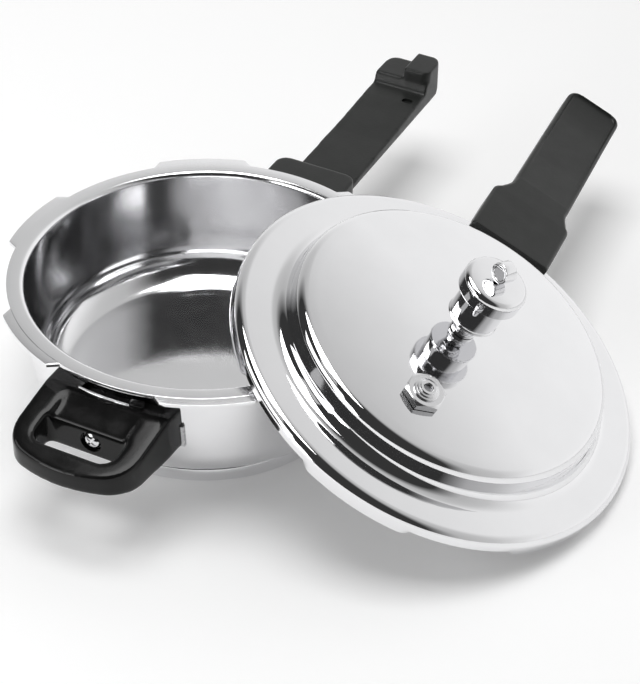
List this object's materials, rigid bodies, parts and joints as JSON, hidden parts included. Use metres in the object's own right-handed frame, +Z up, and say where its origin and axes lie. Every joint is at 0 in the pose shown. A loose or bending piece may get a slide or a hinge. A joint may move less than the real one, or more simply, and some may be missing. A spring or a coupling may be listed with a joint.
{
  "type": "pressure cooker",
  "caption": "Low steel pressure cooker with a long handle and a loop handle; its bayonet lid, with vent weight and safety valve, is off and leans on the rim.",
  "frame": {"origin": "centre of the flat underside of the base, on the table", "axes": "+Z up along the pot's axis, +Y along the pot's long handle, +X towards the leaning lid"},
  "size_m": [0.3542, 0.4318, 0.1329],
  "materials": {
    "polished_steel": "mirror-polished stainless steel",
    "plain_steel": "plain pressed steel",
    "turned_chrome": "turned and plated",
    "core_alloy": "bare",
    "plug_alloy": "dull fusible alloy",
    "needle_brass": "turned",
    "black_phenolic": "moulded black, satin",
    "black_gloss": "moulded black, glossy",
    "grey_rubber": "moulded"
  },
  "bodies": {
    "pot": {"pot_body": "polished_steel", "base_core": "core_alloy", "base_cap": "polished_steel", "base_handle_bracket": "plain_steel", "base_handle_nut": "plain_steel", "base_handle": "black_phenolic", "base_handle_screw": "plain_steel", "base_handle_washer": "plain_steel", "helper_handle_bracket": "plain_steel", "helper_handle": "black_gloss", "helper_handle_screw": "plain_steel", "helper_handle_washer": "plain_steel"},
    "seal": {"sealing_ring": "grey_rubber"},
    "lid": {"lid_shell": "polished_steel", "lid_handle_bracket": "plain_steel", "lid_handle": "black_phenolic", "lid_handle_screw_1": "plain_steel", "lid_handle_screw_2": "plain_steel", "lid_handle_nut_1": "plain_steel", "lid_handle_nut_2": "plain_steel", "vent_tube": "turned_chrome", "vent_seal": "grey_rubber", "vent_nut": "plain_steel", "safety_valve_body": "turned_chrome", "safety_valve_plug": "plug_alloy", "safety_valve_seal": "grey_rubber", "safety_valve_nut": "plain_steel"},
    "weight": {"weight_body": "turned_chrome", "weight_cap": "turned_chrome", "weight_needle": "needle_brass", "weight_lift_ring": "turned_chrome"}
  },
  "joints": [
    {"name": "lid_lift", "type": "slide", "parent": "pot", "child": "seal", "axis": [0, 0, 1], "range_m": [0, 0.15]},
    {"name": "lid_turn", "type": "hinge", "parent": "seal", "child": "lid", "pos_m": [0.13072, 0.01599, 0.04902], "axis": [0.4268, 0.0358, 0.9036], "range_deg": [-20, 5]},
    {"name": "weight_lift", "type": "slide", "parent": "lid", "child": "weight", "axis": [0.4268, 0.0358, 0.9036], "range_m": [0, 0.03]}
  ]
}
